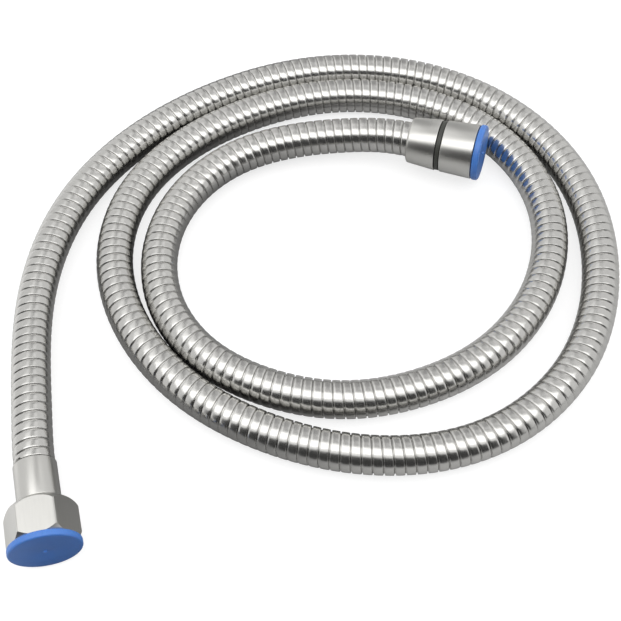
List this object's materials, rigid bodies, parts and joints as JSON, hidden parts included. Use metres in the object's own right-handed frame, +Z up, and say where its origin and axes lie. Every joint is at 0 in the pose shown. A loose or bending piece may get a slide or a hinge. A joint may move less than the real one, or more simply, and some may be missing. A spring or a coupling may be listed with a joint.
{
  "type": "shower hose",
  "caption": "Flexible stainless steel shower hose lying in a loose flat coil, with a hexagon nut at one end, a tapered turning nut at the other, and a blue plastic cap in each.",
  "frame": {"origin": "on the floor, under the middle of the box round the two end fittings", "axes": "+Z up from the floor; -Y towards the side where the hexagon nut opens; +X towards the side where the tapered nut opens"},
  "size_m": [0.2537, 0.2522, 0.0294],
  "materials": {
    "steel_strip": "satin, wound from rolled strip",
    "satin_steel": "fine turned satin",
    "brass": "plain turned",
    "tube_rubber": "matt",
    "washer_rubber": "matt",
    "ring_plastic": "satin",
    "blue_plastic": "satin, moulded"
  },
  "bodies": {
    "hose": {"hose_armour": "steel_strip", "inner_tube": "tube_rubber", "hex_ferrule": "satin_steel", "hex_insert": "brass", "cone_shell": "satin_steel", "cone_ring": "ring_plastic", "cone_tail": "brass"},
    "hex_nut": {"hex_nut": "satin_steel", "hex_washer": "washer_rubber", "hex_cap": "blue_plastic"},
    "cone_stem": {"cone_stem": "brass", "cone_o_ring": "washer_rubber"},
    "cone_nut": {"cone_nut": "satin_steel", "cone_washer": "washer_rubber", "cone_cap": "blue_plastic"}
  },
  "joints": [
    {"name": "hex_nut_turn", "type": "hinge", "parent": "hose", "child": "hex_nut", "pos_m": [-0.0791, -0.0992, 0.01366], "axis": [0.2452, -0.9691, 0.0262], "continuous": true},
    {"name": "cone_swivel", "type": "hinge", "parent": "hose", "child": "cone_stem", "pos_m": [0.0897, 0.0841, 0.017], "axis": [0.9476, -0.3086, 0.083], "continuous": true},
    {"name": "cone_nut_turn", "type": "hinge", "parent": "cone_stem", "child": "cone_nut", "pos_m": [0.0897, 0.0841, 0.017], "axis": [0.9476, -0.3086, 0.083], "continuous": true}
  ]
}
